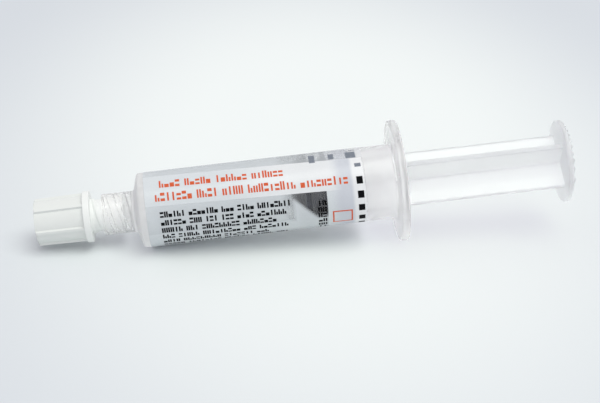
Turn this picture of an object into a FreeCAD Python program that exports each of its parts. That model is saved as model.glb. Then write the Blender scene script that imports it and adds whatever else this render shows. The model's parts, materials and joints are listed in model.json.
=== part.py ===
import FreeCAD, Part
import math
import os

# A pre-filled flush syringe: a clear moulded barrel with a male luer-lock tip,
# a white screw cap on the tip, a wrapped label, a rubber stopper, a clear
# cross-section plunger rod with a round thumb press, and the saline inside.
#
# The syringe is drawn along X, with the tip towards -X and the barrel's front
# shoulder at X = 0. It is then tilted once into the pose in which it lies on a
# flat surface, on its shoulder's edge and on the rim of its finger flange.
# All lengths are in millimetres and all angles in degrees.

# Barrel
barrel_length = 56.4        # front shoulder to the flange's front face
bore_d = 14.4
barrel_wall = 1.05
shoulder_rise = 1.1         # how far the shoulder slopes forward to the collar
shoulder_edge_r = 0.55
bore_front_x = 2.0          # where the straight bore ends
bore_corner_bevel = 0.25
retaining_bead_h = 0.14
retaining_bead_w = 1.2
retaining_bead_inset = 2.6  # from the bore's mouth
bore_mouth_bevel = 0.5

# Finger flange
flange_d = 27.0
flange_t = 1.85
flange_rim_bevel = 0.4
flange_root_bevel = 0.5

# Male luer tip and its locking collar
collar_length = 8.25        # front shoulder to the collar's front
collar_wall = 0.6
collar_clearance = 0.1      # of the cap's hub in the collar
collar_root_bevel = 0.4
collar_edge_bevel = 0.15
collar_depth = 6.5          # inside the collar
tip_reach = 2.1             # how far the tip stands out of the collar
tip_front_d = 3.97
luer_taper = 0.06           # change of diameter for each millimetre
lumen_d = 2.1
tip_edge_bevel = 0.12

# Tip cap
cap_gap = 2.6               # collar front to the cap's flange
cap_flange_t = 1.5
cap_flange_d = 11.4
cap_flange_edge_bevel = 0.2
grip_length = 10.65
grip_end_d = 10.35          # over the ribs, at the closed end
grip_root_d = 10.65         # over the ribs, at the flange
grip_edge_bevel = 0.3
rib_count = 6
rib_height = 0.38
rib_width = 0.85
rib_angle = 58.0            # of the first rib, from the horizontal
hub_d = 7.7
hub_length = 7.2
hub_edge_bevel = 0.25
luer_clearance = 0.05
cap_cavity_spare = 0.7      # past the end of the tip
cap_core_d = 3.2
cap_end_wall = 1.6

# Stopper
stopper_nose_x = 33.4       # the nose's place on the axis as filled
stopper_length = 8.6
nose_flat_d = 1.8
nose_height = 2.6
nose_step = 0.47            # from the front seal ring down to the nose's cone
nose_edge_bevel = 0.2
seal_clearance = 0.03       # of a seal ring in the bore
seal_ring_w = 1.3
seal_ring_edge_bevel = 0.2
seal_ring_slope = 0.3
waist_depth = 0.57          # below the seal rings
stub_head_d = 7.6
stub_head_length = 3.0
stub_neck_d = 5.0
stub_neck_length = 1.5
stub_clearance = 0.05

# Plunger rod
rod_disc_clearance = 0.45   # in the bore
rod_disc_t = 1.2
rod_disc_edge_bevel = 0.25
fin_clearance = 0.6         # of a fin's tip in the bore
fin_t = 1.25
fin_tip_r = 0.3
fin_root_r = 0.35
fin_angle = 58.0            # of the upper front fin, from the horizontal
rod_reach = 94.0            # front shoulder to the press's front face

# Thumb press
press_d = 18.3
press_t = 1.2
press_edge_bevel = 0.3
ridge_pitch = 1.5
ridge_height = 0.35
ridge_w = 0.75
ridge_top_w = 0.35
ridge_inset = 0.45          # from the press's rim

# Label and saline
label_start = 1.5           # from the front shoulder
label_end = 49.6
label_t = 0.07
label_clearance = 0.01
saline_clearance = 0.03

AXIS = FreeCAD.Vector(1, 0, 0)
ORIGIN = FreeCAD.Vector(0, 0, 0)
SAME_POINT = 1e-6           # points closer than this are one


def in_section(x, r):
    """Point of a revolved profile: x along the axis and r away from it."""
    return FreeCAD.Vector(x, 0, r)


def across_axis(x):
    """Places the points of a cross-section drawn at x, u to the front and v up."""
    return lambda u, v: FreeCAD.Vector(x, -u, v)


def sharp(u, v):
    """Corner of an outline that is left sharp."""
    return u, v, 0, 0


def rounded(u, v, radius):
    """Corner of an outline that is rounded by an arc."""
    return u, v, radius, 0


def bevelled(u, v, setback):
    """Corner of an outline that is cut off straight, the setback being along each side."""
    return u, v, 0, setback


def corner_arc(before, corner, after, radius):
    """Start, middle, end and centre of the arc that rounds a corner."""
    towards_before = (before - corner).normalize()
    towards_after = (after - corner).normalize()
    half = towards_before.getAngle(towards_after) / 2
    inward = (towards_before + towards_after).normalize()
    setback = radius / math.tan(half)
    centre = corner + inward * (radius / math.sin(half))
    start = corner + towards_before * setback
    end = corner + towards_after * setback
    return start, centre - inward * radius, end, centre


def outline(corners, place):
    """Closed wire through sharp, rounded and bevelled corners."""
    points = [place(u, v) for u, v, radius, setback in corners]
    stretches = []
    for i, (u, v, radius, setback) in enumerate(corners):
        point = points[i]
        before = points[i - 1]
        after = points[(i + 1) % len(points)]
        if radius > 0:
            stretches.append(corner_arc(before, point, after, radius)[:3])
        elif setback > 0:
            towards_before = (before - point).normalize()
            towards_after = (after - point).normalize()
            stretches.append((point + towards_before * setback, point + towards_after * setback))
        else:
            stretches.append((point,))
    edges = []
    for i, stretch in enumerate(stretches):
        if len(stretch) == 3:
            edges.append(Part.Arc(*stretch).toShape())
        elif len(stretch) == 2:
            edges.append(Part.LineSegment(*stretch).toShape())
        following = stretches[(i + 1) % len(stretches)][0]
        if stretch[-1].distanceToPoint(following) > SAME_POINT:
            edges.append(Part.LineSegment(stretch[-1], following).toShape())
    return Part.Wire(edges)


def revolved(corners):
    """Solid of revolution about the syringe's axis."""
    face = Part.Face(outline(corners, in_section))
    return face.revolve(ORIGIN, AXIS, 360)


def turned(shape, angle):
    """A shape turned about the axis, from the front side upwards."""
    copy = shape.copy()
    copy.rotate(ORIGIN, AXIS, -angle)
    return copy


def luer_r(x):
    """Radius of the male luer taper at x."""
    return (tip_front_d + luer_taper * (x - tip_front_x)) / 2


barrel_d = bore_d + 2 * barrel_wall
collar_bore_d = hub_d + 2 * collar_clearance
collar_d = collar_bore_d + 2 * collar_wall
collar_front_x = -collar_length
tip_front_x = collar_front_x - tip_reach
collar_floor_x = collar_front_x + collar_depth
flange_rear_x = barrel_length + flange_t
cap_flange_rear_x = collar_front_x - cap_gap
cap_flange_front_x = cap_flange_rear_x - cap_flange_t
cap_end_x = cap_flange_front_x - grip_length
seal_ring_r = bore_d / 2 - seal_clearance
nose_r = seal_ring_r - nose_step
waist_r = seal_ring_r - waist_depth
nose_slope = nose_height / (nose_r - nose_flat_d / 2)
bore_cone_x = bore_front_x - nose_slope * (bore_d - lumen_d) / 2
stopper_rear_x = stopper_nose_x + stopper_length
rod_disc_x = stopper_rear_x + stub_clearance
fins_x = rod_disc_x + rod_disc_t
press_rear_x = rod_reach + press_t

SHOULDER_CORNERS = [
    bevelled(-shoulder_rise, collar_d / 2, collar_root_bevel),
    rounded(0, barrel_d / 2, shoulder_edge_r),
    bevelled(barrel_length, barrel_d / 2, flange_root_bevel),
    bevelled(barrel_length, flange_d / 2, flange_rim_bevel),
    bevelled(flange_rear_x, flange_d / 2, flange_rim_bevel),
]


def make_barrel():
    """Barrel, finger flange, shoulder, male luer tip and locking collar, in one moulding."""
    bore_r = bore_d / 2
    bead_x = flange_rear_x - retaining_bead_inset
    profile = [
        sharp(tip_front_x, lumen_d / 2),
        bevelled(tip_front_x, tip_front_d / 2, tip_edge_bevel),
        sharp(collar_floor_x, luer_r(collar_floor_x)),
        sharp(collar_floor_x, collar_bore_d / 2),
        bevelled(collar_front_x, collar_bore_d / 2, collar_edge_bevel),
        bevelled(collar_front_x, collar_d / 2, collar_edge_bevel),
    ]
    profile += SHOULDER_CORNERS
    profile += [
        bevelled(flange_rear_x, bore_r, bore_mouth_bevel),
        sharp(bead_x + retaining_bead_w / 2, bore_r),
        sharp(bead_x, bore_r - retaining_bead_h),
        sharp(bead_x - retaining_bead_w / 2, bore_r),
        bevelled(bore_front_x, bore_r, bore_corner_bevel),
        sharp(bore_cone_x, lumen_d / 2),
    ]
    return revolved(profile)


def ribbed_section(x, rib_d):
    """Wire of the cap's grip at x: ribs that stand out of a round core."""
    core_r = rib_d / 2 - rib_height
    flank = math.atan2(rib_width / 2, core_r)
    crown = math.atan2(rib_width / 4, rib_d / 2)
    step = 2 * math.pi / rib_count

    def at(radius, angle):
        return FreeCAD.Vector(x, -radius * math.cos(angle), radius * math.sin(angle))

    edges = []
    for k in range(rib_count):
        centre = math.radians(rib_angle) + k * step
        left = at(core_r, centre - flank)
        crown_left = at(rib_d / 2, centre - crown)
        crown_right = at(rib_d / 2, centre + crown)
        right = at(core_r, centre + flank)
        edges.append(Part.LineSegment(left, crown_left).toShape())
        edges.append(Part.Arc(crown_left, at(rib_d / 2, centre), crown_right).toShape())
        edges.append(Part.LineSegment(crown_right, right).toShape())
        next_left = at(core_r, centre + step - flank)
        edges.append(Part.Arc(right, at(core_r, centre + step / 2), next_left).toShape())
    return Part.Wire(edges)


def make_tip_cap():
    """Screw cap: ribbed grip with a closed end, flange, and a hub with a female luer bore."""
    sections = [ribbed_section(cap_end_x, grip_end_d), ribbed_section(cap_flange_front_x, grip_root_d)]
    grip = Part.makeLoft(sections, True, True)
    envelope = revolved([
        sharp(cap_end_x, 0),
        bevelled(cap_end_x, grip_end_d / 2, grip_edge_bevel),
        sharp(cap_flange_front_x, grip_root_d / 2),
        sharp(cap_flange_front_x, 0),
    ])
    hub_end_x = cap_flange_rear_x + hub_length
    core = revolved([
        sharp(cap_flange_front_x, 0),
        bevelled(cap_flange_front_x, cap_flange_d / 2, cap_flange_edge_bevel),
        bevelled(cap_flange_rear_x, cap_flange_d / 2, cap_flange_edge_bevel),
        sharp(cap_flange_rear_x, hub_d / 2),
        bevelled(hub_end_x, hub_d / 2, hub_edge_bevel),
        sharp(hub_end_x, 0),
    ])
    seat_x = tip_front_x - cap_cavity_spare
    cavity = revolved([
        sharp(hub_end_x, 0),
        sharp(hub_end_x, luer_r(hub_end_x) + luer_clearance),
        sharp(seat_x, luer_r(seat_x) + luer_clearance),
        sharp(seat_x, cap_core_d / 2),
        sharp(cap_end_x + cap_end_wall, cap_core_d / 2),
        sharp(cap_end_x + cap_end_wall, 0),
    ])
    return grip.common(envelope).fuse(core).cut(cavity).removeSplitter()


def make_stopper():
    """Rubber stopper: conical nose, two seal rings with a waist, and the pocket for the rod's stub."""
    x = stopper_nose_x
    first_ring_x = x + nose_height + seal_ring_slope
    second_ring_x = x + stopper_length - seal_ring_slope - seal_ring_w
    rear_x = stopper_rear_x
    pocket_rear_x = rear_x - stub_neck_length
    pocket_front_x = pocket_rear_x - stub_head_length
    return revolved([
        sharp(x, 0),
        bevelled(x, nose_flat_d / 2, nose_edge_bevel),
        bevelled(x + nose_height, nose_r, nose_edge_bevel),
        bevelled(first_ring_x, seal_ring_r, seal_ring_edge_bevel),
        bevelled(first_ring_x + seal_ring_w, seal_ring_r, seal_ring_edge_bevel),
        sharp(first_ring_x + seal_ring_w + seal_ring_slope, waist_r),
        sharp(second_ring_x - seal_ring_slope, waist_r),
        bevelled(second_ring_x, seal_ring_r, seal_ring_edge_bevel),
        bevelled(second_ring_x + seal_ring_w, seal_ring_r, seal_ring_edge_bevel),
        sharp(rear_x, waist_r),
        sharp(rear_x, stub_neck_d / 2 + stub_clearance),
        sharp(pocket_rear_x, stub_neck_d / 2 + stub_clearance),
        sharp(pocket_rear_x, stub_head_d / 2 + stub_clearance),
        sharp(pocket_front_x, stub_head_d / 2 + stub_clearance),
        sharp(pocket_front_x, 0),
    ])


def fin_cross(x):
    """Cross-shaped wire of the rod at x, with rounded fin tips and filleted roots."""
    tip = bore_d / 2 - fin_clearance
    half = fin_t / 2
    corners = []
    for k in range(4):
        quarter = math.radians(90 * k)
        for along, side, radius in ((tip, -half, fin_tip_r), (tip, half, fin_tip_r), (half, half, fin_root_r)):
            u = along * math.cos(quarter) - side * math.sin(quarter)
            v = along * math.sin(quarter) + side * math.cos(quarter)
            corners.append(rounded(u, v, radius))
    return outline(corners, across_axis(x))


def press_ridges():
    """Parallel finger ridges on the press's rear face, cut off round inside its rim."""
    sunk = press_t / 2
    reach = press_d / 2 - ridge_inset
    count = int(reach / ridge_pitch)
    bars = []
    for k in range(-count, count + 1):
        middle = k * ridge_pitch
        corners = [
            FreeCAD.Vector(press_rear_x - sunk, -reach, middle - ridge_w / 2),
            FreeCAD.Vector(press_rear_x, -reach, middle - ridge_w / 2),
            FreeCAD.Vector(press_rear_x + ridge_height, -reach, middle - ridge_top_w / 2),
            FreeCAD.Vector(press_rear_x + ridge_height, -reach, middle + ridge_top_w / 2),
            FreeCAD.Vector(press_rear_x, -reach, middle + ridge_w / 2),
            FreeCAD.Vector(press_rear_x - sunk, -reach, middle + ridge_w / 2),
        ]
        section = Part.makePolygon(corners + corners[:1])
        bars.append(Part.Face(section).extrude(FreeCAD.Vector(0, 2 * reach, 0)))
    start = FreeCAD.Vector(press_rear_x - sunk, 0, 0)
    disc = Part.makeCylinder(reach, sunk + ridge_height, start, AXIS)
    return Part.makeCompound(bars).common(disc)


def make_plunger_rod():
    """Plunger rod: stub and disc for the stopper, four fins and the thumb press, in one moulding."""
    neck_end_x = stopper_rear_x - stub_neck_length - stub_clearance
    head_end_x = neck_end_x - stub_head_length + 2 * stub_clearance
    rod_disc_r = bore_d / 2 - rod_disc_clearance
    stub = revolved([
        sharp(head_end_x, 0),
        sharp(head_end_x, stub_head_d / 2),
        sharp(neck_end_x, stub_head_d / 2),
        sharp(neck_end_x, stub_neck_d / 2),
        sharp(rod_disc_x, stub_neck_d / 2),
        bevelled(rod_disc_x, rod_disc_r, rod_disc_edge_bevel),
        bevelled(fins_x, rod_disc_r, rod_disc_edge_bevel),
        sharp(fins_x, 0),
    ])
    fins = Part.Face(fin_cross(fins_x - rod_disc_t / 2)).extrude(AXIS * (rod_reach - fins_x + rod_disc_t))
    press = revolved([
        sharp(rod_reach, 0),
        bevelled(rod_reach, press_d / 2, press_edge_bevel),
        bevelled(press_rear_x, press_d / 2, press_edge_bevel),
        sharp(press_rear_x, 0),
    ])
    rod = stub.fuse([turned(fins, fin_angle), press, turned(press_ridges(), fin_angle)])
    return rod.removeSplitter()


def make_label():
    """Thin film wrapped round the barrel."""
    inner_r = barrel_d / 2 + label_clearance
    return revolved([
        sharp(label_start, inner_r),
        sharp(label_start, inner_r + label_t),
        sharp(label_end, inner_r + label_t),
        sharp(label_end, inner_r),
    ])


def make_saline():
    """Saline between the stopper's nose and the end of the tip."""
    r = bore_d / 2 - saline_clearance
    lumen_r = lumen_d / 2 - saline_clearance
    nose_x = stopper_nose_x - saline_clearance
    cone_x = bore_front_x + saline_clearance
    return revolved([
        sharp(tip_front_x, 0),
        sharp(tip_front_x, lumen_r),
        sharp(cone_x - nose_slope * (r - lumen_r), lumen_r),
        bevelled(cone_x, r, bore_corner_bevel),
        sharp(nose_x + nose_height, r),
        sharp(nose_x + nose_height, nose_r),
        sharp(nose_x, nose_flat_d / 2),
        sharp(nose_x, 0),
    ])


def rest_placement(shapes):
    """Tilts the syringe on to its shoulder edge and flange rim, origin below the middle of its box."""
    points = [in_section(x, r) for x, r, radius, setback in SHOULDER_CORNERS]
    edge_centre = corner_arc(points[0], points[1], points[2], shoulder_edge_r)[3]
    rim = in_section(barrel_length + flange_rim_bevel, flange_d / 2)
    between = rim - edge_centre
    tilt = math.atan2(between.z, between.x) - math.asin(shoulder_edge_r / between.Length)
    height = rim.z * math.cos(tilt) - rim.x * math.sin(tilt)
    tilted = FreeCAD.Rotation(FreeCAD.Vector(0, 1, 0), -math.degrees(tilt))
    lying = FreeCAD.Placement(FreeCAD.Vector(0, 0, height), tilted)
    copies = []
    for shape in shapes:
        copy = shape.copy()
        copy.Placement = lying.multiply(copy.Placement)
        copies.append(copy)
    box = Part.makeCompound(copies).optimalBoundingBox(False)
    return FreeCAD.Placement(FreeCAD.Vector(-box.Center.x, -box.Center.y, 0), FreeCAD.Rotation()).multiply(lying)


def main():
    """Makes every piece, lays the syringe down and writes one file for each piece."""
    os.makedirs("parts", exist_ok=True)
    pieces = {
        "barrel": make_barrel(),
        "tip_cap": make_tip_cap(),
        "label": make_label(),
        "stopper": make_stopper(),
        "plunger_rod": make_plunger_rod(),
        "saline": make_saline(),
    }
    rest = rest_placement(pieces.values())
    for name, shape in pieces.items():
        shape.Placement = rest.multiply(shape.Placement)
        print(name, "valid", shape.isValid(), "solids", len(shape.Solids), "volume", round(shape.Volume, 2))
        shape.exportStep("parts/" + name + ".step")
    print("axis", rest.Rotation.multVec(AXIS), "shoulder at", rest.multVec(ORIGIN))


main()
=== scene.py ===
"""Looks of a pre-filled flush syringe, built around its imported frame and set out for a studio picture."""
import json
import logging
import math
import random
from collections.abc import Callable, Sequence
from dataclasses import dataclass
from enum import Enum
from typing import Any, NamedTuple

import bpy
from mathutils import Matrix, Vector

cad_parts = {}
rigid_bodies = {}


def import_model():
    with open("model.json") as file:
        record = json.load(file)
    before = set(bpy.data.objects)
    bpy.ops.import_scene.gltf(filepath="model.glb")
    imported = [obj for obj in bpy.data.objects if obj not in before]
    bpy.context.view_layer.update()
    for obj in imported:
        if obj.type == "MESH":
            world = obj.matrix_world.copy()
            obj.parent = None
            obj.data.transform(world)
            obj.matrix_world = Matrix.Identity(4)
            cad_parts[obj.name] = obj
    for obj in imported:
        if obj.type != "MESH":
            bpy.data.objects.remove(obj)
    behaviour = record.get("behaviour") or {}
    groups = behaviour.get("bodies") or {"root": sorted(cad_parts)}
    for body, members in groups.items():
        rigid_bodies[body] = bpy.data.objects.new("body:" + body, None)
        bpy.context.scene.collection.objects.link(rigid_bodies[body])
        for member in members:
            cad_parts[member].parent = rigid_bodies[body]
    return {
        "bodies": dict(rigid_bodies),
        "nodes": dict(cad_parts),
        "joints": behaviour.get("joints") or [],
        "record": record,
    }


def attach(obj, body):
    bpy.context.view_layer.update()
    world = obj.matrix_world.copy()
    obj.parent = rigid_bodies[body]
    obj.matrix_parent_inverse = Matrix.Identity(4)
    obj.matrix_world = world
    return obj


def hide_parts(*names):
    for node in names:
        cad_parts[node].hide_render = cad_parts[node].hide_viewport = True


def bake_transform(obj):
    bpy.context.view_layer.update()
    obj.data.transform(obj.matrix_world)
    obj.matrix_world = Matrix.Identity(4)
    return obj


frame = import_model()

LOG = logging.getLogger("flush_syringe")
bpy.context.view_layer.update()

MM = 0.001
TINY = 1e-6
SUPPORT = 0.04              # mm from a bend to the extra station that keeps the flat beside it flat
FINE_STEP = 0.12            # mm between stations on threads and ribs
ARC_STEP = math.radians(11)
SHARP_ANGLE = math.radians(32)
UV_X_SPAN = 100.0           # mm of length for one unit of the wrap map's u
AROUND = 128                # points round a plain turned piece
FINE_AROUND = 160           # points round the barrel and its label
MAX_BOUNCES = 24
MAX_CLEAR_BOUNCES = 32

Colour = tuple[float, float, float]
Triple = tuple[float, float, float]     # a place, or a factor for each of x, y and z
Face = tuple[int, ...]


class Form(Enum):
    """What a stretch of a turned outline carries round the axis."""
    PLAIN = "plain"
    THREAD = "thread"
    RIBS = "ribs"


class Corner(NamedTuple):
    """Corner of an outline in millimetres, with the radius of its rounding and the form that follows it."""
    u: float
    v: float
    radius: float = 0.0
    form: Form = Form.PLAIN


class Station(NamedTuple):
    """Point of a traced outline, in millimetres."""
    u: float
    v: float
    form: Form


@dataclass(frozen=True)
class SyringeLine:
    """The syringe's own axis in the frame, from the front shoulder towards the thumb press."""
    shoulder: Vector
    along: Vector

    @classmethod
    def from_frame(cls, packed: dict[str, Any], tip_to_shoulder: float) -> "SyringeLine":
        """Reads the axis from the plunger's joint and the tip's mount.

        Args:
            tip_to_shoulder: length from the luer tip's end to the shoulder, in millimetres.

        Returns:
            The axis with its shoulder point, in metres.
        """
        joint = next(j for j in packed["joints"] if j["name"] == "plunger_slide")
        mount = next(m for m in packed["record"]["mounts"] if m["name"] == "luer_tip")
        along = Vector(joint["axis"]).normalized()
        return cls(Vector(mount["pos_m"]) + along * tip_to_shoulder * MM, along)

    @property
    def front(self) -> Vector:
        """Level direction towards the viewer."""
        return Vector((0.0, -1.0, 0.0))

    @property
    def up(self) -> Vector:
        """Direction square to the axis and the front."""
        return self.front.cross(self.along)

    def place(self, x: float, r: float, angle: float) -> Vector:
        """Puts a point of the syringe into the frame.

        Args:
            x: place along the axis from the shoulder, in millimetres.
            r: distance from the axis, in millimetres.
            angle: turn round the axis from the front upwards, in radians.

        Returns:
            The point in metres.
        """
        outward = self.front * math.cos(angle) + self.up * math.sin(angle)
        return self.shoulder + (self.along * x + outward * r) * MM

    def across(self, x: float, u: float, v: float) -> Vector:
        """Puts a point of a cross-section at x, u to the front and v up, into the frame."""
        return self.shoulder + (self.along * x + self.front * u + self.up * v) * MM


def round_off(before: Vector, corner: Vector, after: Vector, radius: float) -> list[Vector]:
    """Replaces a corner by the points of an arc.

    Args:
        before: previous corner.
        corner: the corner itself.
        after: next corner.
        radius: radius of the arc.

    Returns:
        The arc's points in order, from the side of before to the side of after.
    """
    to_before = (before - corner).normalized()
    to_after = (after - corner).normalized()
    half = to_before.angle(to_after) / 2
    centre = corner + (to_before + to_after).normalized() * (radius / math.sin(half))
    start = corner + to_before * (radius / math.tan(half)) - centre
    turn = start.angle_signed(corner + to_after * (radius / math.tan(half)) - centre)
    steps = max(2, math.ceil(abs(turn) / ARC_STEP))
    points = []
    for i in range(steps + 1):
        share = -turn * i / steps
        cosine, sine = math.cos(share), math.sin(share)
        points.append(centre + Vector((start.x * cosine - start.y * sine, start.x * sine + start.y * cosine)))
    return points


def between(start: Vector, end: Vector, form: Form) -> list[Station]:
    """Extra stations on a straight stretch.

    Args:
        start: first point of the stretch.
        end: last point of the stretch.
        form: what the stretch carries.

    Returns:
        Stations that keep a plain stretch flat, or close ones for a thread or ribs.
    """
    length = (end - start).length
    if form is not Form.PLAIN:
        count = max(2, math.ceil(length / FINE_STEP))
        return [Station(*start.lerp(end, i / count), form) for i in range(1, count)]
    if length < 4 * SUPPORT:
        return []
    return [Station(*start.lerp(end, share), form) for share in (SUPPORT / length, 1 - SUPPORT / length)]


def trace(corners: Sequence[Corner]) -> list[Station]:
    """Turns the corners of a closed outline into stations.

    Args:
        corners: the corners in order.

    Returns:
        Stations on the arcs and straights between them.
    """
    points = [Vector((c.u, c.v)) for c in corners]
    bends = []
    for i, corner in enumerate(corners):
        bend = [points[i]]
        if corner.radius > 0:
            bend = round_off(points[i - 1], points[i], points[(i + 1) % len(points)], corner.radius)
        bends.append(bend)
    stations = []
    for i, bend in enumerate(bends):
        form = corners[i].form
        following = bends[(i + 1) % len(bends)][0]
        stations += [Station(p.x, p.y, form) for p in bend]
        on_axis = abs(bend[-1].y) < TINY and abs(following.y) < TINY
        if not on_axis:
            stations += between(bend[-1], following, form)
    return stations


def even_angles(count: int) -> list[float]:
    """Angles of a full turn in equal steps."""
    return [math.tau * i / count for i in range(count)]


def eased(share: float) -> float:
    """A share held between 0 and 1, with soft ends."""
    share = min(1.0, max(0.0, share))
    return share * share * (3 - 2 * share)


def fade(x: float, start: float, end: float, run: float) -> float:
    """Rises from 0 to 1 over a run inside both ends of a stretch."""
    return min(1.0, max(0.0, (x - start) / run)) * min(1.0, max(0.0, (end - x) / run))


def loft_faces(first: int, size: int, rings: int) -> list[Face]:
    """Faces of a closed loft with its two ends.

    Args:
        first: number of the loft's first point.
        size: points in a ring, which run anticlockwise as seen from outside the first ring.
        rings: number of rings.

    Returns:
        The faces, all turned outwards.
    """
    last = first + size * (rings - 1)
    faces: list[Face] = [tuple(range(first, first + size)), tuple(reversed(range(last, last + size)))]
    for low in range(first, last, size):
        for k in range(size):
            m = (k + 1) % size
            faces.append((low + m, low + k, low + size + k, low + size + m))
    return faces


def shade_smooth(mesh: bpy.types.Mesh) -> None:
    """Makes a mesh smooth but for its sharp edges."""
    mesh.polygons.foreach_set("use_smooth", [True] * len(mesh.polygons))
    mesh.set_sharp_from_angle(angle=SHARP_ANGLE)


def make_piece(name: str, points: Sequence[Vector], faces: Sequence[Face]) -> bpy.types.Object:
    """Makes a piece and puts it into the scene.

    Args:
        name: the piece's name.
        points: its points, in metres.
        faces: its faces, as numbers of points.

    Returns:
        The piece.
    """
    mesh = bpy.data.meshes.new(name)
    mesh.from_pydata(points, [], faces)
    mesh.update()
    shade_smooth(mesh)
    piece = bpy.data.objects.new(name, mesh)
    bpy.context.scene.collection.objects.link(piece)
    return piece


@dataclass
class Lathe:
    """Makes turned and drawn pieces about the syringe's axis."""
    line: SyringeLine

    def turn(
        self,
        name: str,
        corners: Sequence[Corner],
        angles: Sequence[float],
        relief: Callable[[float, float, float], float] | None = None,
    ) -> bpy.types.Object:
        """Turns a closed outline of (x, r) corners into a piece with a wrap map.

        Args:
            name: the piece's name.
            corners: outline in millimetres, in the order that turns outward faces to the outside.
            angles: turns of the rings' points, in radians, going up from the first.
            relief: gives a point's radius from its x, outline radius and angle where the form isn't plain.

        Returns:
            The piece, in place.
        """
        points: list[Vector] = []
        rings: list[range] = []
        stations = trace(corners)
        for station in stations:
            turns = [0.0] if station.v < TINY else angles
            rings.append(range(len(points), len(points) + len(turns)))
            for angle in turns:
                radius = station.v
                if relief is not None and station.form is not Form.PLAIN:
                    radius = relief(station.u, station.v, angle)
                points.append(self.line.place(station.u, radius, angle))
        faces: list[Face] = []
        wrap: list[float] = []
        pairs = len(rings) if len(rings[0]) > 1 else len(rings) - 1
        count = len(angles)
        for i in range(pairs):
            j = (i + 1) % len(rings)
            for k in range(count):
                m = (k + 1) % count
                low = angles[k] / math.tau
                high = (angles[m] + (math.tau if m == 0 else 0.0)) / math.tau
                corner_places = [(i, k, low), (j, k, low), (j, m, high), (i, m, high)]
                if len(rings[i]) == 1:
                    corner_places.pop(3)
                elif len(rings[j]) == 1:
                    corner_places.pop(2)
                faces.append(tuple(rings[ring][point % len(rings[ring])] for ring, point, _ in corner_places))
                for ring, _, share in corner_places:
                    wrap += [stations[ring].u / UV_X_SPAN, share]
        piece = make_piece(name, points, faces)
        piece.data.uv_layers.new(name="wrap").data.foreach_set("uv", wrap)
        return piece

    def prism(
        self,
        name: str,
        corners: Sequence[Corner],
        start: float,
        end: float,
        turn: float,
    ) -> bpy.types.Object:
        """Draws a cross-section out along the axis.

        Args:
            name: the piece's name.
            corners: cross-section in millimetres, u to the front and v up, anticlockwise.
            start: where the prism starts, in millimetres from the shoulder.
            end: where it ends.
            turn: turn round the axis from the front upwards, in radians.

        Returns:
            The piece, in place.
        """
        cosine, sine = math.cos(turn), math.sin(turn)
        stations = trace(corners)
        points = []
        for x in (start, end):
            for s in stations:
                points.append(self.line.across(x, s.u * cosine - s.v * sine, s.u * sine + s.v * cosine))
        return make_piece(name, points, loft_faces(0, len(stations), 2))


def combine(base: bpy.types.Object, other: bpy.types.Object, operation: str) -> bpy.types.Object:
    """Applies a boolean of two closed pieces and drops the second.

    Args:
        base: the piece that stays.
        other: the piece that is used up.
        operation: UNION or INTERSECT.

    Returns:
        The base piece with its new mesh.
    """
    modifier = base.modifiers.new("combine", "BOOLEAN")
    modifier.operation = operation
    modifier.solver = "EXACT"
    modifier.object = other
    graph = bpy.context.evaluated_depsgraph_get()
    mesh = bpy.data.meshes.new_from_object(base.evaluated_get(graph))
    base.modifiers.clear()
    used = base.data
    base.data = mesh
    bpy.data.meshes.remove(used)
    bpy.data.objects.remove(other)
    shade_smooth(mesh)
    return base


class Signal:
    """A shader socket's output, on which plain arithmetic adds Math nodes."""

    def __init__(self, graph: "Graph", socket: bpy.types.NodeSocket) -> None:
        """Wraps a socket of a graph."""
        self.graph = graph
        self.socket = socket

    def _math(self, operation: str, *values: "Signal | float") -> "Signal":
        """Adds a Math node on the values."""
        return self.graph.add("ShaderNodeMath", {"operation": operation}, dict(enumerate(values)))

    def __add__(self, other: "Signal | float") -> "Signal":
        """Sum."""
        return self._math("ADD", self, other)

    def __radd__(self, other: float) -> "Signal":
        """Sum, reflected."""
        return self._math("ADD", other, self)

    def __sub__(self, other: "Signal | float") -> "Signal":
        """Difference."""
        return self._math("SUBTRACT", self, other)

    def __rsub__(self, other: float) -> "Signal":
        """Difference, reflected."""
        return self._math("SUBTRACT", other, self)

    def __mul__(self, other: "Signal | float") -> "Signal":
        """Product."""
        return self._math("MULTIPLY", self, other)

    def __rmul__(self, other: float) -> "Signal":
        """Product, reflected."""
        return self._math("MULTIPLY", other, self)

    def __gt__(self, other: "Signal | float") -> "Signal":
        """1 where this is the larger."""
        return self._math("GREATER_THAN", self, other)

    def __lt__(self, other: "Signal | float") -> "Signal":
        """1 where this is the smaller."""
        return self._math("LESS_THAN", self, other)

    def either(self, other: "Signal | float") -> "Signal":
        """The larger of two values."""
        return self._math("MAXIMUM", self, other)

    def about(self, middle: float, reach: float) -> "Signal":
        """Spreads a value of 0 to 1 evenly to both sides of a middle."""
        return self * (2 * reach) + (middle - reach)

    def ramp(self, low: float, high: float) -> "Signal":
        """0 below low and 1 above high, smooth between them."""
        sockets = {"Value": self, "From Min": low, "From Max": high}
        return self.graph.add("ShaderNodeMapRange", {"interpolation_type": "SMOOTHSTEP"}, sockets)


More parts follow.
